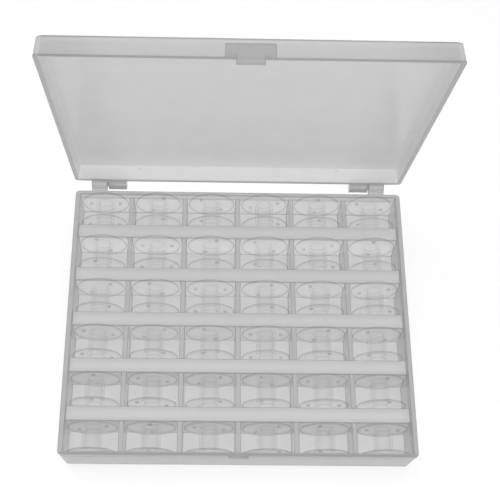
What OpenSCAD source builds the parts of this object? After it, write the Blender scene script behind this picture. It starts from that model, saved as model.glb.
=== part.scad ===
// Hinged clear plastic storage box with a grid of upright bobbins, drawn with its lid open.
// The origin is the centre of the tray's underside. X runs along the hinge, Y to the back, Z up.
// Every size is in millimetres.

/* [Bobbin] */
// Outside diameter of the flanges
bobbin_d = 20.3; // [18:0.1:23]
// Overall width along the bobbin's own axis
bobbin_h = 11.4; // [9:0.1:13]
// Thickness of a flange where it meets the hub
flange_t = 1.2; // [0.9:0.1:1.6]
// Thickness of a flange at its rim
flange_rim_t = 0.8; // [0.6:0.1:0.9]
// Outside diameter of the hub
hub_d = 8; // [7.4:0.1:9.5]
// Diameter of the bore through the hub
bore_d = 6.1; // [5.6:0.1:6.5]
// Diameter of a thread hole in a flange
thread_hole_d = 1.5; // [1:0.1:2]
// Distance from the hub to the middle of a thread hole
thread_hole_out = 2.4; // [1.9:0.1:3.5]
// Edge bevel at the flange rim
rim_bevel = 0.25; // [0.1:0.05:0.3]

/* [Cells] */
// Number of cells from left to right
cols = 6; // [2:1:7]
// Number of cells from back to front
rows = 6; // [2:1:7]
// Gap at each side of a bobbin in its cell
side_gap = 0.65; // [0.3:0.05:1.2]
// Gap at each flange of a bobbin in its cell
end_gap = 0.4; // [0.3:0.05:1.5]
// Gap under a bobbin
seat_gap = 0.2; // [0.1:0.05:0.3]
// Thickness of the upright dividers in a row
divider_t = 2; // [1.4:0.1:3]
// How far the dividers' tops lie below the bands
divider_drop = 0.5; // [0.2:0.1:3]
// Width of the raised bands between the rows, at the floor
band_base_w = 8.25; // [7:0.05:11]
// Width of the raised bands on top
band_w = 6; // [5:0.1:7]
// Height of the raised bands above the table
band_h = 16; // [11:0.5:17]
// Plastic thickness of the hollow bands
band_t = 1.2; // [0.8:0.1:1.6]

/* [Tray] */
// How far the stored bobbins stand above the tray's rim
bobbin_proud = 2.5; // [1:0.1:4]
// Thickness of the left and right walls at the rim
side_wall_t = 1.9; // [1.5:0.1:3]
// Thickness of the front and back walls at the rim
end_wall_t = 1.5; // [1.3:0.1:3]
// Thickness of the floor
floor_t = 1.5; // [1:0.1:2.5]
// How far the outer wall leans in from rim to table
tray_draft = 0.6; // [0.2:0.1:0.8]
// Radius of the upright outer corners
corner_r = 1.6; // [1:0.1:3]

/* [Lid] */
// Space between the stored bobbins and the closed lid
lid_headroom = 3.9; // [2:0.1:8]
// Thickness of the lid's top panel
lid_top_t = 1.5; // [1:0.1:2.2]
// Thickness of the lid's side walls
lid_wall_t = 1.5; // [1:0.1:2.2]
// How far a lid wall leans in from rim to panel
lid_draft = 0.7; // [0.2:0.1:1.2]
// Bevel round the edge of the lid's panel
lid_bevel = 0.6; // [0.3:0.1:1]
// Gap between the tray's rim and the closed lid
seam_gap = 0.1; // [0.05:0.05:0.3]
// Angle at which the lid stands open
lid_open = 82; // [60:1:120]
// Distance of the round ejector marks from the middle of the lid
mark_reach = 43.4; // [20:0.1:55]
// Diameter of an ejector mark
mark_d = 1.4; // [1:0.1:3]

/* [Hinges] */
// Gap between a hinge barrel and the back walls
barrel_gap = 1.1; // [0.5:0.1:2]
// Diameter of the hinge barrels
barrel_d = 4.8; // [4.2:0.1:5.2]
// Diameter of the moulded hinge pins
pin_d = 2.2; // [1.6:0.1:2.8]
// Radial clearance of a pin in its ear
pin_clearance = 0.08; // [0.05:0.01:0.1]
// Distance from the tray's side to the first hinge ear
hinge_inset = 7; // [5:0.5:12]
// Width of an ear on the tray
ear_w = 6.8; // [4:0.1:9]
// Width of a knuckle on the lid
knuckle_w = 8; // [5:0.1:10]
// Gap between an ear and its knuckle
hinge_gap = 0.6; // [0.3:0.1:1]

/* [Latch] */
// Width of the latch's pad on the lid
pad_w = 16.9; // [12:0.1:22]
// Height of the pad
pad_h = 4.6; // [3.5:0.1:5]
// Width of the latch's tongue
tongue_w = 9.6; // [6:0.1:11]
// Length of the tongue below the lid's rim
tongue_l = 3.1; // [2.8:0.1:4]
// Thickness of the tongue
tongue_t = 1.2; // [0.8:0.1:1.8]
// Height of the hook at the end of the tongue
hook_h = 0.9; // [0.6:0.1:1]
// How much narrower the catch ridge is than the tongue, at each side
catch_side = 0.8; // [0:0.1:2]
// Height of the catch ridge
catch_h = 1; // [0.7:0.1:1.2]
// How far the catch ridge stands out
catch_out = 0.8; // [0.5:0.1:1]
// Clearance round the catch and behind the latch
latch_clearance = 0.15; // [0.1:0.01:0.2]

/* [Hidden] */
$fn = 48;
eps = 0.01;
slab = 0.02;
cell_w = bobbin_d + 2 * side_gap;
cell_l = bobbin_h + 2 * end_gap;
divider_h = band_h - divider_drop;
pitch_x = cell_w + divider_t;
pitch_y = cell_l + band_base_w;
inner_w = cols * cell_w + (cols - 1) * divider_t;
inner_l = rows * cell_l + (rows - 1) * band_base_w;
box_w = inner_w + 2 * side_wall_t;
box_l = inner_l + 2 * end_wall_t;
axle_z = floor_t + seat_gap + bobbin_d / 2;
tray_h = axle_z + bobbin_d / 2 - bobbin_proud;
rim_z = tray_h + seam_gap;
lid_h = bobbin_proud - seam_gap + lid_headroom + lid_top_t;
barrel_r = barrel_d / 2;
hinge_back = barrel_r + barrel_gap;
hinge_y = box_l / 2 + hinge_back;
hinge_z = tray_h;
ear_x = box_w / 2 - hinge_inset - ear_w;
knuckle_x = ear_x - hinge_gap - knuckle_w;
embed = end_wall_t / 2;
mark_depth = lid_wall_t / 5;
catch_w = tongue_w - 2 * catch_side;
latch_back = catch_out + latch_clearance;
pad_lean = lid_draft * pad_h / lid_h;
thread_hole_reach = hub_d / 2 + thread_hole_out;
thread_hole_step = 113;
thread_hole_row_step = 67;
clear_tint = [0.86, 0.87, 0.87, 0.5];
bobbin_tint = [0.9, 0.91, 0.91, 0.5];
latch_tint = [0.72, 0.73, 0.73, 0.7];

function bobbin_name(r, c) = str("bobbin_r", r, "_c", c);
function band_name(r) = str("tray_band_", r);
function divider_name(c) = str("tray_divider_", c);
function cell_x(c) = (c - (cols + 1) / 2) * pitch_x;
function cell_y(r) = ((rows + 1) / 2 - r) * pitch_y;
function band_y(r) = (cell_y(r) + cell_y(r + 1)) / 2;
function divider_x(c) = (cell_x(c) + cell_x(c + 1)) / 2;

// A box whose base is centred on the origin and stands on z = 0
module block(w, l, h) {
    translate([-w / 2, -l / 2, 0])
        cube([w, l, h]);
}

// A thin rounded plate, used as one level of a drafted shell
module level(w, l, r, z) {
    translate([0, 0, z])
        linear_extrude(slab)
            offset(r = r, $fn = 24)
                square([w - 2 * r, l - 2 * r], center = true);
}

// A cylinder along X that starts at x and runs for length w
module rod_x(d, x, w) {
    translate([x, 0, 0])
        rotate([0, 90, 0])
            cylinder(d = d, h = w);
}

// One copy as drawn and one mirrored to the other side of the box
module both_sides() {
    children();
    mirror([1, 0, 0])
        children();
}

// The tray's outside, leaning in towards the table
module tray_outside() {
    hull() {
        level(box_w - 2 * tray_draft, box_l - 2 * tray_draft, corner_r, 0);
        level(box_w, box_l, corner_r, tray_h - slab);
    }
}

// The floor under the cells, open below the hollow bands
module tray_floor() {
    color(clear_tint)
        difference() {
            block(inner_w, inner_l, floor_t);
            for (r = [1:rows - 1])
                band_hollow(r);
        }
}

// The wall at one side with its corners: side is -1 at the left and 1 at the right
module tray_side(side) {
    color(clear_tint)
        intersection() {
            tray_outside();
            translate([side * box_w / 2, 0, -eps])
                block(2 * side_wall_t, box_l + 2 * eps, tray_h + 2 * eps);
        }
}

// The wall at one end, between the side walls: end is -1 at the front and 1 at the back
module tray_end(end) {
    color(clear_tint)
        intersection() {
            tray_outside();
            translate([0, end * box_l / 2, -eps])
                block(inner_w, 2 * end_wall_t, tray_h + 2 * eps);
        }
}

// An upright divider that parts the cells of every row, from height low to its top
module divider(c, low) {
    translate([divider_x(c), 0, low])
        block(divider_t, inner_l, divider_h - low);
}

module tray_divider(c) {
    color(clear_tint)
        divider(c, floor_t);
}

// A bar along X with sloping sides: bottom and top are its widths there
module sloping_bar(length, bottom, top, low, high) {
    translate([-length / 2, 0, 0])
        rotate([90, 0, 90])
            linear_extrude(length)
                polygon([
                    [-bottom / 2, low],
                    [bottom / 2, low],
                    [top / 2, high],
                    [-top / 2, high]
                ]);
}

// The hollow under a raised band, open below and closed at both ends
module band_hollow(r) {
    length = inner_w - 2 * band_t;
    translate([0, band_y(r), 0])
        sloping_bar(length, band_base_w - 2 * band_t, band_w - 2 * band_t, -eps, band_h - band_t);
}

// A raised band between two rows, which bridges the dividers
module tray_band(r) {
    color(clear_tint)
        difference() {
            translate([0, band_y(r), 0])
                sloping_bar(inner_w, band_base_w, band_w, floor_t, band_h);
            band_hollow(r);
            for (c = [1:cols - 1])
                divider(c, floor_t - eps);
        }
}

// The right hinge ear: a barrel on a web that meets the back wall, bored for the lid's pin
module ear() {
    color(clear_tint)
        difference() {
            translate([0, hinge_y, hinge_z]) {
                rod_x(barrel_d, ear_x, ear_w);
                translate([ear_x, -hinge_back - embed, -barrel_r])
                    cube([ear_w, hinge_back + embed, barrel_r]);
            }
            tray_outside();
            translate([0, hinge_y, hinge_z])
                rod_x(pin_d + 2 * pin_clearance, ear_x - eps, ear_w + 2 * eps);
        }
}

module tray_ear_right() {
    ear();
}

module tray_ear_left() {
    mirror([1, 0, 0])
        ear();
}

// The ridge on the front wall that the latch's hook catches
module tray_catch() {
    catch_top = rim_z - tongue_l + hook_h + 2 * latch_clearance + catch_h;
    color(clear_tint)
        difference() {
            translate([catch_w / 2, -box_l / 2, catch_top])
                rotate([0, -90, 0])
                    linear_extrude(catch_w)
                        polygon([
                            [0, embed],
                            [-catch_h / 4, -catch_out],
                            [-catch_h, -catch_out],
                            [-catch_h, embed]
                        ]);
            tray_outside();
        }
}

// Carries a closed lid's parts to where the lid stands open
module opened() {
    translate([0, hinge_y, hinge_z])
        rotate([-lid_open, 0, 0])
            translate([0, -hinge_y, -hinge_z])
                children();
}

module lid_outside() {
    side = lid_draft * (1 - lid_bevel / lid_h);
    top = lid_draft + lid_bevel;
    hull() {
        level(box_w, box_l, corner_r, rim_z);
        level(box_w - 2 * side, box_l - 2 * side, corner_r, rim_z + lid_h - lid_bevel);
        level(box_w - 2 * top, box_l - 2 * top, corner_r, rim_z + lid_h - slab);
    }
}

module lid_inside() {
    rim = lid_wall_t;
    top = lid_wall_t + lid_draft;
    hull() {
        level(box_w - 2 * rim, box_l - 2 * rim, corner_r / 2, rim_z - slab);
        level(box_w - 2 * top, box_l - 2 * top, corner_r / 2, rim_z + lid_h - lid_top_t - slab);
    }
}

// A knuckle on the lid's back wall, with the moulded pin that turns in the ear
module knuckle() {
    web_h = barrel_r - latch_clearance;
    translate([0, hinge_y, hinge_z]) {
        rod_x(barrel_d, knuckle_x, knuckle_w);
        rod_x(pin_d, knuckle_x + knuckle_w - embed, embed + hinge_gap + ear_w);
        translate([knuckle_x, -hinge_back - embed, latch_clearance])
            cube([knuckle_w, hinge_back + embed, web_h]);
    }
}

// A shallow round ejector mark on the inside of the lid's back wall
module ejector_mark() {
    wall_y = box_l / 2 - lid_wall_t;
    translate([mark_reach, wall_y - lid_draft, rim_z + lid_h - lid_top_t - mark_d])
        rotate([-90, 0, 0])
            cylinder(d = mark_d, h = lid_draft + mark_depth);
}

module lid() {
    color(clear_tint)
        opened()
            union() {
                difference() {
                    lid_outside();
                    lid_inside();
                    both_sides()
                        ejector_mark();
                }
                both_sides()
                    knuckle();
            }
}

// The latch's side view: pad, tongue and hook, with y outwards and z up from the lid's rim
module latch_profile() {
    outer = latch_back + tongue_t;
    polygon([
        [latch_clearance - pad_lean, pad_h],
        [latch_clearance, 0],
        [latch_back, 0],
        [latch_back, hook_h - tongue_l],
        [2 * latch_clearance, hook_h - tongue_l],
        [2 * latch_clearance, -tongue_l + hook_h / 3],
        [latch_back, -tongue_l],
        [outer, -tongue_l],
        [outer, pad_h - tongue_t / 2],
        [outer - tongue_t / 2, pad_h]
    ]);
}

// The latch's front view: a wide pad over a narrow tongue
module latch_front() {
    translate([-pad_w / 2, 0])
        square([pad_w, pad_h + eps]);
    translate([-tongue_w / 2, -tongue_l - eps])
        square([tongue_w, tongue_l + 2 * eps]);
}

module latch() {
    depth = latch_back + tongue_t + eps;
    color(latch_tint)
        opened()
            translate([0, -box_l / 2, rim_z])
                intersection() {
                    translate([pad_w / 2, 0, 0])
                        rotate([90, 0, -90])
                            linear_extrude(pad_w)
                                latch_profile();
                    translate([0, pad_lean, 0])
                        rotate([90, 0, 0])
                            linear_extrude(depth + pad_lean)
                                latch_front();
                }
}

// Half of a bobbin's section: x is the distance from its axis and y runs along it
function half_section() = let (
    half = bobbin_h / 2,
    rim = bobbin_d / 2,
    taper = flange_t - flange_rim_t
) [
    [bore_d / 2, half],
    [rim - rim_bevel, half],
    [rim, half - rim_bevel],
    [rim, half - flange_rim_t + rim_bevel],
    [rim - rim_bevel, half - flange_rim_t],
    [hub_d / 2 + taper, half - flange_t],
    [hub_d / 2, half - flange_t - taper]
];

// The whole section: the half above and its mirror image below
module bobbin_section() {
    above = half_section();
    last = len(above) - 1;
    below = [for (i = [last:-1:0]) [above[i].x, -above[i].y]];
    polygon(concat(above, below));
}

// A bobbin standing on its rims, its axis along Y through the origin
module bobbin(turn) {
    rotate([90, turn, 0])
        difference() {
            rotate_extrude()
                bobbin_section();
            for (side = [-1, 1])
                translate([side * thread_hole_reach, 0, -bobbin_h])
                    cylinder(d = thread_hole_d, h = 2 * bobbin_h);
        }
}

// The bobbin in row r, counted from the back, and column c, counted from the left
module stored_bobbin(r, c) {
    turn = (r * thread_hole_row_step + c * thread_hole_step) % 360;
    color(bobbin_tint)
        translate([cell_x(c), cell_y(r), axle_z])
            bobbin(turn);
}

tray_floor();
tray_side(-1);  // tray_left
tray_side(1);  // tray_right
tray_end(-1);  // tray_front
tray_end(1);  // tray_back
tray_ear_left();
tray_ear_right();
tray_catch();
for (r = [1:rows - 1])
    tray_band(r);
for (c = [1:cols - 1])
    tray_divider(c);
lid();
latch();
for (r = [1:rows], c = [1:cols])
    stored_bobbin(r, c);
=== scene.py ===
"""Looks for the hinged clear box of bobbins: camera, stage, lights, clear plastic and fine moulding details."""

import math

import bmesh
import bpy
from mathutils import Matrix, Vector


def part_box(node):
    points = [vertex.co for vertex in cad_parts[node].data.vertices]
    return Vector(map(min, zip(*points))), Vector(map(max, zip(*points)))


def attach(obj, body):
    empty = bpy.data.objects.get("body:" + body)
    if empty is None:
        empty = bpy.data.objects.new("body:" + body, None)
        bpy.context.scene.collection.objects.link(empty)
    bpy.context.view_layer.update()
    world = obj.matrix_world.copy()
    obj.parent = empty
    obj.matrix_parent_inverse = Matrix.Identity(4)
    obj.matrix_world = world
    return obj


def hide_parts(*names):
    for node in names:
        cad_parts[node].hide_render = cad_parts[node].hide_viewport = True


MM = 0.001
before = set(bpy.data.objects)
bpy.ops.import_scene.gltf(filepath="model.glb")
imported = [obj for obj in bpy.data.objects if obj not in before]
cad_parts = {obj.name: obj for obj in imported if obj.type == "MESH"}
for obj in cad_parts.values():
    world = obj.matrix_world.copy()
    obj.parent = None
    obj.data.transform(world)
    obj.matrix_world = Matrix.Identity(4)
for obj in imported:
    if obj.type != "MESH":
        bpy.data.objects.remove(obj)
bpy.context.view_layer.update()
scene = bpy.context.scene

# Camera: place, aim and lens come from a fit to the box corners, dividers and flange tops in the photograph
IMAGE_PX, SENSOR = 500.0, 36.0
CAMERA_AT = Vector((-13.732, -147.445, 410.769)) * MM
CAMERA_DOWN, CAMERA_YAW, CAMERA_ROLL = 65.936, 2.834, 3.303
FOCAL_PX = 995.97
CENTRE_PX = (226.51, 257.62)
CLIP_START, CLIP_END = 0.01, 20

# Bobbin sizes in mm, as in the CAD
BOBBIN_R, BOBBIN_HALF, FLANGE_T, FLANGE_RIM_T = 10.15, 5.7, 1.2, 0.8
HUB_R, BORE_R = 4.0, 3.05
HOLE_R, HOLE_REACH, HOLE_OVER = 0.75, 6.4, 1
ROWS, COLS = 6, 6
# How far each bobbin is turned in its cell, in degrees for each row and each column
TURN_ROW, TURN_COL = 67, 113
# Fine forms of the bobbin in mm: each pair of a recess starts and ends its slope, from the hub or from the rim
RIM_ROUND, HUB_FILLET, BORE_CHAMFER = 0.3, 0.5, 0.2
RECESS_DEPTH, RECESS_AT_HUB, RECESS_AT_RIM = 0.12, (0.9, 1.0), (1.3, 1.15)
BOBBIN_STEPS, ROUND_STEPS, HOLE_STEPS = 72, 4, 20
# How far its materials reach: over the rim in roundings, at the bore out and in in chamfers, at the hub in fillets
RIM_FACES, BORE_OUT, BORE_IN, HUB_FACES = 1.05, 1.1, 1.5, 1.2
SMOOTH_UNDER = 35

# Tray sizes in mm that its nodes' boxes don't give
TRAY_DRAFT, CORNER_R, CORNER_STEPS = 0.6, 1.6, 6
BAND_TOP_W, BAND_T = 6.0, 1.2
PIN_BORE_R, PIN_BORE_STEPS = 1.18, 24
# The ear meets the wall this far below the rim, and the top of the catch slopes by this share of its height
EAR_STEPS, EAR_DROP, CATCH_SLOPE = 8, 0.6, 0.25
# How far in mm forms reach into a wall, and cuts past the rim, a band's top, a cell's, its foot and an ear's sides
WALL_OVERLAP, RIM_OVER, BAND_OVER, CELL_OVER, FOOT_OVER, BORE_OVER = 0.7, 5, 1, 0.25, 0.01, 0.5

# Lid: angle at rest, place of its pin, height and reach from the pin, in mm
LID_OPEN, HINGE_Y, HINGE_Z = 82.0, 62.225, 19.5
LID_H, LID_REACH = 7.9, 120.95
# Between which two places, in mm, the lid's lines and its painted shade set in, and what its haze keeps under that
# painted shade at sides and far wall
RIM_LINE, TOP_LINE, FAR_LINE = (0.2, 0.6), (LID_H - 1.3, LID_H - 0.8), (LID_REACH - 1.3, LID_REACH - 0.9)
SIDE_SHADE, SIDE_WALL, FAR_WALL_SHADE = (42.0, 66.0), (69.0, 69.4), (LID_REACH - 1.7, LID_REACH - 1.4)
SIDE_SHADE_KEEP, FAR_SHADE_KEEP = 0.9, 0.92

# Rounding of the edges in mm, the angle in degrees above which an edge is rounded, and its number of steps
TRAY_EDGE, LID_EDGE, LATCH_EDGE = 0.23, 0.2, 0.15
EDGE_ANGLE, EDGE_STEPS = 40, 2

# Points of a mesh closer than this many metres are one point, and faces closer than this many degrees one plane
WELD, FLAT = 0.000002, 0.2

# Indices of the bobbin's materials
FLANGE_MAT, RIM_MAT, HUB_MAT = 0, 1, 2

# Plastic: scale, detail and roughness of the noises for its clouds, its fine grain and its gloss
CLOUDS, GRAIN, GLOSS = (45.0, 3.0, 0.55), (900.0, 2.0, 0.6), (160.0, 3.0, 0.5)
# Between which noise values clouds and gloss run, and what they make of the haze's share, its grey and the gloss
NOISE_SPAN, SHARE_SWING, HAZE_SWING, GLOSS_ROUGH = (0.3, 0.7), (0.97, 1.03), (0.99, 1.01), (0.12, 0.208)
GRAIN_DEPTH, GRAIN_STRENGTH = 0.00005, 0.02
# Its reflection face on and edge on and how late that sets in, and what light keeps on its way through
FACE_ON_GLOSS, EDGE_ON_GLOSS, GLOSS_POWER = 0.04, 0.96, 5.0
SHADOW_TINT = (0.995, 0.995, 0.995, 1)
# Blends of the weights by slant for the haze's share and for the rest, and the haze in the deep and painted-shade
# zones or on a line
SHARE_BLEND, SLANT_BLEND = 0.35, 0.5
DEEP_SHARE, LINE_SHARE, LINE_KEEP = 0.85, 0.9, 0.66

# Where the tray's haze is denser and darker: floor, tops of dividers and bands, and rim, where the eye looks
# through deep plastic, and front wall, where the darkening is painted shade; and over how many mm that sets in and
# ends
TRAY_DEPTH_AND_SHADE = (("Z", -1.0, 1.7, 0.77), ("Z", 15.1, 15.6, 0.62), ("Z", 15.9, 16.8, 0.74), ("Z", 18.4, 30.0, 0.62),
               ("Y", -70.0, -57.8, 0.72))
DEPTH_IN, DEPTH_OUT = 0.3, 0.2

# Stage: half the floor's side and its place below the part, in metres, and its greys
FLOOR_HALF, FLOOR_DROP = 2.5, 0.0002
FLOOR_GREYS = (0.93, 0.93, 0.93), (0.95, 0.95, 0.95)
FLOOR_CLOUDS, FLOOR_ROUGH, FLOOR_GLOSS = (6.0, 2.0, 0.5), 0.9, 0.1
# Area lights: name, place and side in metres, power in watts
LIGHTS = (("overhead", (0.0, 0.35, 1.5), 2.4, 13.0), ("front", (0.2, -1.1, 1.2), 1.6, 18.0),
          ("key", (-0.8, 0.6, 1.1), 0.8, 2.0))
# Strength of the white surroundings, as light and as seen by the camera
WORLD_LIGHT, WORLD_SEEN = 0.35, 1.0
BOUNCES, CLEAR_BOUNCES = 12, 48


def put_camera():
    down, yaw, roll = (math.radians(x) for x in (CAMERA_DOWN, CAMERA_YAW, CAMERA_ROLL))
    ahead = Vector((math.sin(yaw) * math.cos(down), math.cos(yaw) * math.cos(down), -math.sin(down)))
    right = Vector((math.cos(yaw), -math.sin(yaw), 0))
    up = right.cross(ahead)
    right, up = (math.cos(roll) * right + math.sin(roll) * up, math.cos(roll) * up - math.sin(roll) * right)
    data = bpy.data.cameras.new("camera")
    data.sensor_width = SENSOR
    data.lens = FOCAL_PX * SENSOR / IMAGE_PX
    data.shift_x = 0.5 - CENTRE_PX[0] / IMAGE_PX
    data.shift_y = CENTRE_PX[1] / IMAGE_PX - 0.5
    data.clip_start, data.clip_end = CLIP_START, CLIP_END
    cam = bpy.data.objects.new("camera", data)
    scene.collection.objects.link(cam)
    cam.matrix_world = Matrix.Translation(CAMERA_AT) @ Matrix((right, up, -ahead)).transposed().to_4x4()
    scene.camera = cam


class Net:
    """A material's nodes, made and joined in one line each."""

    def __init__(self, name):
        self.mat = bpy.data.materials.new(name)
        self.mat.use_nodes = True
        self.tree = self.mat.node_tree
        self.tree.nodes.clear()

    def put(self, socket, value):
        """Joins a socket to value where that is a socket too, else gives it value as its constant."""
        if isinstance(value, bpy.types.NodeSocket):
            self.tree.links.new(value, socket)
        else:
            socket.default_value = value

    def node(self, kind, inputs=(), **settings):
        made = self.tree.nodes.new("ShaderNode" + kind)
        for k, v in settings.items():
            setattr(made, k, v)
        for k, v in dict(inputs).items():
            self.put(made.inputs[k], v)
        return made

    def math(self, how, a, b=0.0, c=0.0, clamp=False):
        return self.node("Math", {0: a, 1: b, 2: c}, operation=how, use_clamp=clamp).outputs[0]

    def times(self, a, b):
        return self.math("MULTIPLY", a, b)

    def dot(self, a, b):
        return self.node("VectorMath", {0: a, 1: b}, operation="DOT_PRODUCT").outputs["Value"]

    def ramp(self, value, lo, hi, out_lo=0.0, out_hi=1.0):
        return self.node("MapRange", {"Value": value, "From Min": lo, "From Max": hi, "To Min": out_lo,
                                      "To Max": out_hi}, interpolation_type="SMOOTHSTEP").outputs["Result"]

    def noise(self, where, scale, detail, rough):
        return self.node("TexNoise", {"Vector": where, "Scale": scale, "Detail": detail,
                                      "Roughness": rough}).outputs["Fac"]

    def tint(self, fac, a, b):
        """Mix of two colours, each an RGB triple or a socket."""
        made = self.node("Mix", {"Factor": fac}, data_type="RGBA")
        for slot, c in ((6, a), (7, b)):
            self.put(made.inputs[slot], c if isinstance(c, bpy.types.NodeSocket) else (*c, 1))
        return made.outputs[2]

    def blend(self, fac, a, b):
        return self.node("MixShader", {0: fac, 1: a, 2: b}).outputs[0]

    def out(self, shader):
        self.node("OutputMaterial", {"Surface": shader})
        return self.mat


def lid_shading(net, at):
    """A value of 1 along the lid's rim and outer edge, else 0, and the painted shade of its sides and far wall."""
    turn = math.radians(LID_OPEN)
    pin = (0, HINGE_Y * MM, HINGE_Z * MM)
    from_pin = net.node("VectorMath", {0: at, 1: pin}, operation="SUBTRACT").outputs[0]
    deep = net.dot(from_pin, (0, math.sin(turn), math.cos(turn)))
    reach = net.dot(from_pin, (0, -math.cos(turn), math.sin(turn)))
    aside = net.math("ABSOLUTE", net.node("SeparateXYZ", {"Vector": at}).outputs["X"])

    def past(value, places, *outs):
        return net.ramp(value, places[0] * MM, places[1] * MM, *outs)

    rim = past(deep, RIM_LINE, 1.0, 0.0)
    outer = net.times(past(deep, TOP_LINE), past(reach, FAR_LINE))
    # Painted shade: the haze darkens towards the lid's sides and its far wall
    side_shade = net.math("MAXIMUM", past(aside, SIDE_SHADE, 1.0, SIDE_SHADE_KEEP), past(aside, SIDE_WALL))
    far_shade = past(reach, FAR_WALL_SHADE, 1.0, FAR_SHADE_KEEP)
    return net.math("MAXIMUM", rim, outer), net.times(side_shade, far_shade)


def clear_plastic(name, clear, haze, share_face, share_edge, glow=0.4, turn=2.2, gloss=0.8,
                  slant_shade=(0.5, 0.8, 1.0), depth_and_shade=(), lines=False):
    """Clear moulded plastic: see-through, with a milky haze, glossy, denser where it is seen edge on, and with
    painted shade on its haze.

    clear is the grey tint of what shows through and haze the grey of the scattered light. share_face and share_edge
    give the share of the haze face on and edge on, turn how late it sets in between, and glow the part of it that
    is lit from behind. slant_shade says from and to which slant the haze of a face goes darker, a painted shade,
    and how much of its colour it keeps there. depth_and_shade lists where the haze is denser and darker, for deep
    plastic
    and for painted shade: an axis, from and to a place along it in mm, and what the haze keeps there. lines gives
    the lid the dark lines along its rim and its outer edge, and painted shade towards its sides and its far wall.
    """
    net = Net(name)
    at = net.node("TexCoord").outputs["Object"]
    cloud = net.noise(at, *CLOUDS)
    grain = net.noise(at, *GRAIN)
    bump = net.node("Bump", {"Strength": GRAIN_STRENGTH, "Distance": GRAIN_DEPTH,
                             "Height": grain}).outputs["Normal"]
    rough = net.ramp(net.noise(at, *GLOSS), *NOISE_SPAN, *GLOSS_ROUGH)
    facing = net.node("LayerWeight", {"Blend": SHARE_BLEND}).outputs["Facing"]
    slant = net.node("LayerWeight", {"Blend": SLANT_BLEND}).outputs["Facing"]

    share = net.math("MULTIPLY_ADD", net.math("POWER", facing, turn), share_edge - share_face, share_face)
    share = net.math("MULTIPLY", share, net.ramp(cloud, *NOISE_SPAN, *SHARE_SWING), clamp=True)
    # Painted shade: the haze darkens on faces seen edge on
    shade = net.ramp(slant, slant_shade[0], slant_shade[1], 1.0, slant_shade[2])
    axes = net.node("SeparateXYZ", {"Vector": at}).outputs
    # Zones of deep plastic thicken and darken the haze; at the tray's front wall the darkening is painted shade
    for axis, low, high, keep in depth_and_shade:
        zone = net.times(net.ramp(axes[axis], (low - DEPTH_IN) * MM, low * MM),
                         net.ramp(axes[axis], high * MM, (high + DEPTH_OUT) * MM, 1.0, 0.0))
        shade = net.times(shade, net.ramp(zone, 0.0, 1.0, 1.0, keep))
        share = net.math("MAXIMUM", share, net.times(zone, DEEP_SHARE))
    if lines:
        # The lid's dark lines, and painted shade that darkens its haze towards its sides and far wall
        line, keep = lid_shading(net, at)
        shade = net.times(shade, net.times(net.ramp(line, 0.0, 1.0, 1.0, LINE_KEEP), keep))
        share = net.math("MAXIMUM", share, net.times(line, LINE_SHARE))

    colour = net.tint(cloud, *((swing * haze,) * 3 for swing in HAZE_SWING))
    colour = net.tint(shade, (0.0, 0.0, 0.0), colour)
    milk = net.blend(glow, net.node("BsdfDiffuse", {"Color": colour, "Normal": bump}).outputs[0],
                     net.node("BsdfTranslucent", {"Color": colour}).outputs[0])
    through = net.node("BsdfTransparent", {"Color": (clear, clear, clear, 1)}).outputs[0]
    base = net.blend(share, through, milk)
    shine = net.node("BsdfGlossy", {"Color": (1, 1, 1, 1), "Roughness": rough, "Normal": bump}).outputs[0]
    mirror = net.math("MULTIPLY_ADD", net.math("POWER", slant, GLOSS_POWER), EDGE_ON_GLOSS * gloss,
                      FACE_ON_GLOSS * gloss)
    seen = net.blend(mirror, base, shine)
    lets_light_in = net.node("BsdfTransparent", {"Color": SHADOW_TINT}).outputs[0]
    mat = net.out(net.blend(net.node("LightPath").outputs["Is Shadow Ray"], seen, lets_light_in))
    mat.use_transparent_shadow = True
    return mat


def lathe(profile, steps):
    """A closed solid turned round Z from a closed list of (radius, height) points in mm."""
    bm = bmesh.new()
    rings = []
    for i in range(steps):
        a = 2 * math.pi * i / steps
        rings.append([bm.verts.new((r * math.cos(a) * MM, r * math.sin(a) * MM, z * MM)) for r, z in profile])
    n = len(profile)
    for i in range(steps):
        here, after = rings[i], rings[(i + 1) % steps]
        for j in range(n):
            k = (j + 1) % n
            bm.faces.new((here[j], after[j], after[k], here[k]))
    bmesh.ops.recalc_face_normals(bm, faces=bm.faces)
    return bm


def arc(cx, cy, r, start, end, steps):
    return [(cx + r * math.cos(math.radians(start + (end - start) * i / steps)),
             cy + r * math.sin(math.radians(start + (end - start) * i / steps))) for i in range(steps + 1)]


def circle(cx, cy, r, steps):
    """The corners of a round outline, without the first corner again at its end."""
    return arc(cx, cy, r, 0, 360, steps)[:-1]


def rounded(width, length, r):
    """Outline of a rounded rectangle, centred."""
    x, y = width / 2 - r, length / 2 - r
    points = []
    for cx, cy, start in ((x, y, 0), (-x, y, 90), (-x, -y, 180), (x, -y, 270)):
        points += arc(cx, cy, r, start, start + 90, CORNER_STEPS)
    return points


def prism(bm, outline, axis, start, end):
    """A prism: outline is a list of points across the axis, in mm, and axis is the one it runs along."""
    ends = []
    for along in (start, end):
        ring = []
        for a, b in outline:
            p = {"X": (along, a, b), "Y": (a, along, b), "Z": (a, b, along)}[axis]
            ring.append(bm.verts.new(Vector(p) * MM))
        ends.append(ring)
    close(bm, ends)


def loft(bm, levels):
    """A closed solid through outlines of equal length, each given as (outline, height in mm)."""
    close(bm, [[bm.verts.new((x * MM, y * MM, z * MM)) for x, y in outline] for outline, z in levels])


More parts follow.
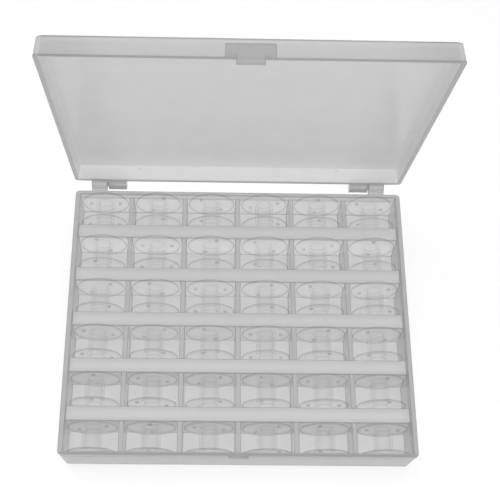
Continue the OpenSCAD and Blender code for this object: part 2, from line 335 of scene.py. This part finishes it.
def close(bm, rings):
    """The faces of a solid through rings of points: both ends and the sides between each two rings."""
    n = len(rings[0])
    made = [bm.faces.new(rings[0]), bm.faces.new(rings[-1])]
    for low, high in zip(rings, rings[1:]):
        made += [bm.faces.new((low[i], low[(i + 1) % n], high[(i + 1) % n], high[i])) for i in range(n)]
    bmesh.ops.recalc_face_normals(bm, faces=made)


def as_object(bm, name):
    mesh = bpy.data.meshes.new(name)
    bm.to_mesh(mesh)
    bm.free()
    obj = bpy.data.objects.new(name, mesh)
    scene.collection.objects.link(obj)
    return obj


def carve(name, blank, steps):
    """blank after boolean steps, each (operation, tool object), as a new object; the tools are deleted."""
    for i, (how, tool) in enumerate(steps):
        cut = blank.modifiers.new(f"step_{i}", "BOOLEAN")
        cut.object, cut.operation, cut.solver, cut.use_self = tool, how, "EXACT", True
    bpy.context.view_layer.update()
    mesh = bpy.data.meshes.new_from_object(blank.evaluated_get(bpy.context.evaluated_depsgraph_get()))
    for obj in [blank] + [tool for _, tool in steps]:
        bpy.data.objects.remove(obj)
    mesh.name = name
    clean(mesh)
    obj = bpy.data.objects.new(name, mesh)
    scene.collection.objects.link(obj)
    return obj


def clean(mesh, flat=False):
    """Joins the points that a boolean leaves almost on one another, and with flat also faces in one plane."""
    bm = bmesh.new()
    bm.from_mesh(mesh)
    bmesh.ops.remove_doubles(bm, verts=bm.verts, dist=WELD)
    bmesh.ops.dissolve_degenerate(bm, edges=bm.edges, dist=WELD)
    if flat:
        bmesh.ops.dissolve_limit(bm, angle_limit=math.radians(FLAT), verts=bm.verts, edges=bm.edges)
    bm.to_mesh(mesh)
    bm.free()


def smooth(mesh):
    """Rounded faces shade smoothly and flat ones stay crisp."""
    bm = bmesh.new()
    bm.from_mesh(mesh)
    for f in bm.faces:
        f.smooth = True
    for e in bm.edges:
        e.smooth = e.is_manifold and e.calc_face_angle(0) < math.radians(SMOOTH_UNDER)
    bm.to_mesh(mesh)
    bm.free()


def finish(obj, mats, width):
    """Gives obj its materials and rounds its edges by width in mm; the last material is that of the edges."""
    obj.data.materials.clear()
    for mat in mats:
        obj.data.materials.append(mat)
    obj.modifiers.new("join", "WELD").merge_threshold = WELD
    soft = obj.modifiers.new("edges", "BEVEL")
    soft.width, soft.segments, soft.limit_method = width * MM, EDGE_STEPS, "ANGLE"
    soft.angle_limit = math.radians(EDGE_ANGLE)
    soft.use_clamp_overlap = False
    soft.material = len(mats) - 1


def bobbin_mesh(mats):
    """The bobbin: rounded rims, thin tapering flanges, fillets at the hub, a chamfered bore and thread holes."""
    top, floor = BOBBIN_HALF, BOBBIN_HALF - RECESS_DEPTH
    inner = BOBBIN_HALF - FLANGE_RIM_T
    root = BOBBIN_HALF - FLANGE_T
    half = [(BORE_R, top - BORE_CHAMFER), (BORE_R + BORE_CHAMFER, top)]
    half += [(HUB_R + RECESS_AT_HUB[0], top), (HUB_R + RECESS_AT_HUB[1], floor),
             (BOBBIN_R - RECESS_AT_RIM[0], floor), (BOBBIN_R - RECESS_AT_RIM[1], top)]
    half += arc(BOBBIN_R - RIM_ROUND, top - RIM_ROUND, RIM_ROUND, 90, 0, ROUND_STEPS)
    half += arc(BOBBIN_R - RIM_ROUND, inner + RIM_ROUND, RIM_ROUND, 0, -90, ROUND_STEPS)
    half += arc(HUB_R + HUB_FILLET, root - HUB_FILLET, HUB_FILLET, 90, 180, ROUND_STEPS)
    bm = lathe(half + [(r, -z) for r, z in reversed(half)], BOBBIN_STEPS)
    for f in bm.faces:
        middle = f.calc_center_median() / MM
        out = math.hypot(middle.x, middle.y)
        at_bore = out < BORE_R + BORE_OUT * BORE_CHAMFER and abs(middle.z) > top - BORE_IN * BORE_CHAMFER
        if out > BOBBIN_R - RIM_FACES * RIM_ROUND or at_bore:
            f.material_index = RIM_MAT
        else:
            f.material_index = HUB_MAT if out < HUB_R + HUB_FACES * HUB_FILLET else FLANGE_MAT
    blank = as_object(bm, "bobbin_blank")
    bm = bmesh.new()
    for side_shade in (-1, 1):
        prism(bm, circle(side_shade * HOLE_REACH, 0, HOLE_R, HOLE_STEPS), "Z", -top - HOLE_OVER, top + HOLE_OVER)
    for f in bm.faces:
        f.material_index = RIM_MAT
    drill = as_object(bm, "drill")
    for mat in mats:
        blank.data.materials.append(mat)
        drill.data.materials.append(mat)
    obj = carve("bobbin", blank, [("DIFFERENCE", drill)])
    mesh = obj.data
    bpy.data.objects.remove(obj)
    smooth(mesh)
    return mesh


def put_bobbins(mats):
    mesh = bobbin_mesh(mats)
    for r in range(1, ROWS + 1):
        for c in range(1, COLS + 1):
            node = f"bobbin_r{r}_c{c}"
            lo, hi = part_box(node)
            turn = math.radians((r * TURN_ROW + c * TURN_COL) % 360)
            obj = bpy.data.objects.new(f"clear_{node}", mesh.copy())
            scene.collection.objects.link(obj)
            obj.data.transform(Matrix.Rotation(turn, 4, "Y") @ Matrix.Rotation(math.radians(90), 4, "X"))
            obj.location = (lo + hi) / 2
            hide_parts(node)
            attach(obj, node)


def mm_box(node):
    lo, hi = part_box(node)
    return lo / MM, hi / MM


def middles(kind, count, axis):
    """The middles along an axis of the tray's bands or dividers, in mm."""
    boxes = [mm_box(f"tray_{kind}_{i}") for i in range(1, count + 1)]
    return [(lo[axis] + hi[axis]) / 2 for lo, hi in boxes]


def tray_cells(floor_lo, floor_hi, base, top, over):
    """What is cut from above: the space over the bands, and each row's cells and the space over its dividers."""
    divider_lo, divider_hi = mm_box("tray_divider_1")
    divider_top, divider_t = divider_hi.z, divider_hi.x - divider_lo.x
    band_y, divider_x = middles("band", ROWS - 1, 1), middles("divider", COLS - 1, 0)
    lean = (base - BAND_TOP_W) / 2 / (top - floor_hi.z)
    bm = bmesh.new()
    prism(bm, [(floor_lo.x, floor_lo.y), (floor_hi.x, floor_lo.y), (floor_hi.x, floor_hi.y),
               (floor_lo.x, floor_hi.y)], "Z", top, over)
    fronts = [y + base / 2 for y in band_y] + [floor_lo.y]
    backs = [floor_hi.y] + [y - base / 2 for y in band_y]
    edges = [floor_lo.x] + [x + s * divider_t / 2 for x in divider_x for s in (-1, 1)] + [floor_hi.x]
    for r, (front, back) in enumerate(zip(fronts, backs)):
        lean_front, lean_back = (0 if r == ROWS - 1 else lean), (0 if r == 0 else lean)

        def profile(low, high):
            foot, head = low - floor_hi.z, high - floor_hi.z
            return [(front - lean_front * foot, low), (back + lean_back * foot, low),
                    (back + lean_back * head, high), (front - lean_front * head, high)]

        prism(bm, profile(divider_top, top + BAND_OVER), "X", floor_lo.x, floor_hi.x)
        for c in range(COLS):
            prism(bm, profile(floor_hi.z, divider_top + CELL_OVER), "X", edges[2 * c], edges[2 * c + 1])
    return as_object(bm, "cells")


def band_hollows(floor_lo, floor_hi, base, top):
    """What is cut from below, so that the bands are hollow."""
    low, high = base / 2 - BAND_T, BAND_TOP_W / 2 - BAND_T
    bm = bmesh.new()
    for y in middles("band", ROWS - 1, 1):
        prism(bm, [(y - low, -FOOT_OVER), (y + low, -FOOT_OVER), (y + high, top - BAND_T),
                   (y - high, top - BAND_T)], "X", floor_lo.x + BAND_T, floor_hi.x - BAND_T)
    return as_object(bm, "hollows")


def ears_and_catch(length):
    """The ears and the catch ridge, each reaching into its wall, and the bores of the ears."""
    bm, bores = bmesh.new(), bmesh.new()
    back_wall, front_wall = length / 2 - WALL_OVERLAP, -length / 2 + WALL_OVERLAP
    for node in ("tray_ear_left", "tray_ear_right"):
        lo, hi = mm_box(node)
        r = (hi.z - lo.z) / 2
        y, z = hi.y - r, (hi.z + lo.z) / 2
        outline = [(back_wall, z - r)] + arc(y, z, r, -90, 90, 2 * EAR_STEPS) + arc(y, z, r, 90, 180, EAR_STEPS)
        prism(bm, outline + [(back_wall, z - EAR_DROP)], "X", lo.x, hi.x)
        prism(bores, circle(y, z, PIN_BORE_R, PIN_BORE_STEPS), "X", lo.x - BORE_OVER, hi.x + BORE_OVER)
    lo, hi = mm_box("tray_catch")
    prism(bm, [(front_wall, hi.z), (lo.y, hi.z - CATCH_SLOPE * (hi.z - lo.z)), (lo.y, lo.z), (front_wall, lo.z)],
          "X", lo.x, hi.x)
    return as_object(bm, "added"), as_object(bores, "bores")


def put_tray(mats):
    """The tray as the one moulding it really is, with soft edges, where the CAD has its floor, walls and bands."""
    floor_lo, floor_hi = mm_box("tray_floor")
    left, right = mm_box("tray_left"), mm_box("tray_right")
    width, length, height = right[1].x - left[0].x, left[1].y - left[0].y, left[1].z
    band_lo, band_hi = mm_box("tray_band_1")
    base, top = band_hi.y - band_lo.y, band_hi.z
    bm = bmesh.new()
    foot = rounded(width - 2 * TRAY_DRAFT, length - 2 * TRAY_DRAFT, CORNER_R)
    loft(bm, [(foot, 0), (rounded(width, length, CORNER_R), height)])
    blank = as_object(bm, "tray_blank")
    cells = tray_cells(floor_lo, floor_hi, base, top, height + RIM_OVER)
    hollows = band_hollows(floor_lo, floor_hi, base, top)
    added, bores = ears_and_catch(length)
    obj = carve("tray_moulding", blank, [("DIFFERENCE", cells), ("DIFFERENCE", hollows), ("UNION", added),
                                         ("DIFFERENCE", bores)])
    clean(obj.data, flat=True)
    finish(obj, mats, TRAY_EDGE)
    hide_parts(*[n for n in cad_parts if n.startswith("tray_")])
    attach(obj, "tray")


def floor_material():
    net = Net("pale_floor")
    at = net.node("TexCoord").outputs["Object"]
    colour = net.tint(net.noise(at, *FLOOR_CLOUDS), *FLOOR_GREYS)
    return net.out(net.node("BsdfPrincipled", {"Base Color": colour, "Roughness": FLOOR_ROUGH,
                                               "Specular IOR Level": FLOOR_GLOSS}).outputs[0])


def put_floor():
    bm = bmesh.new()
    bmesh.ops.create_grid(bm, x_segments=8, y_segments=8, size=FLOOR_HALF)
    obj = as_object(bm, "floor")
    obj.data.materials.append(floor_material())
    obj.location.z = -FLOOR_DROP


def put_light(name, at, size, power):
    data = bpy.data.lights.new(name, "AREA")
    data.shape, data.size, data.energy = "SQUARE", size, power
    obj = bpy.data.objects.new(name, data)
    scene.collection.objects.link(obj)
    obj.location = at
    obj.rotation_mode = "QUATERNION"
    obj.rotation_quaternion = (-Vector(at)).to_track_quat("-Z", "Y")


def light():
    world = bpy.data.worlds.new("studio")
    scene.world = world
    world.use_nodes = True
    tree = world.node_tree
    back = tree.nodes["Background"]
    back.inputs["Color"].default_value = (1, 1, 1, 1)
    seen = tree.nodes.new("ShaderNodeLightPath").outputs["Is Camera Ray"]
    strength = tree.nodes.new("ShaderNodeMapRange")
    strength.inputs["To Min"].default_value, strength.inputs["To Max"].default_value = WORLD_LIGHT, WORLD_SEEN
    tree.links.new(seen, strength.inputs["Value"])
    tree.links.new(strength.outputs["Result"], back.inputs["Strength"])
    for lamp in LIGHTS:
        put_light(*lamp)
    scene.view_settings.view_transform = "Standard"
    scene.view_settings.look = "None"
    scene.view_settings.exposure = 0.0
    scene.cycles.max_bounces = BOUNCES
    scene.cycles.transparent_max_bounces = CLEAR_BOUNCES


put_camera()
put_floor()
light()

EDGE = clear_plastic("clear_edge", 0.7, 0.42, 0.7, 0.8)
LID = clear_plastic("clear_lid", 0.9, 0.68, 0.57, 0.75, glow=0.5, lines=True)
LATCH = clear_plastic("clear_latch", 0.85, 0.55, 0.45, 0.6, glow=0.5)
# The tray's haze darkens on faces seen edge on and at its front wall, a painted shade
TRAY = clear_plastic("clear_tray", 0.96, 0.82, 0.65, 0.85, glow=0.3, slant_shade=(0.5, 0.66, 0.6),
                     depth_and_shade=TRAY_DEPTH_AND_SHADE)
# The bobbins' and hubs' haze darkens on faces seen edge on, a painted shade
BOBBIN = clear_plastic("clear_bobbin", 0.998, 0.75, 0.02, 0.5, turn=3.0, gloss=0.2, slant_shade=(0.7, 0.95, 0.5))
HUB = clear_plastic("clear_hub", 0.985, 0.6, 0.06, 0.4, turn=3.0, gloss=0.2, slant_shade=(0.7, 0.95, 0.6))
RIM = clear_plastic("clear_bobbin_rim", 0.94, 0.22, 0.17, 0.33, gloss=0.2)

put_tray((TRAY, EDGE))
finish(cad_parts["lid"], (LID,), LID_EDGE)
finish(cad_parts["latch"], (LATCH, EDGE), LATCH_EDGE)
put_bobbins((BOBBIN, RIM, HUB))
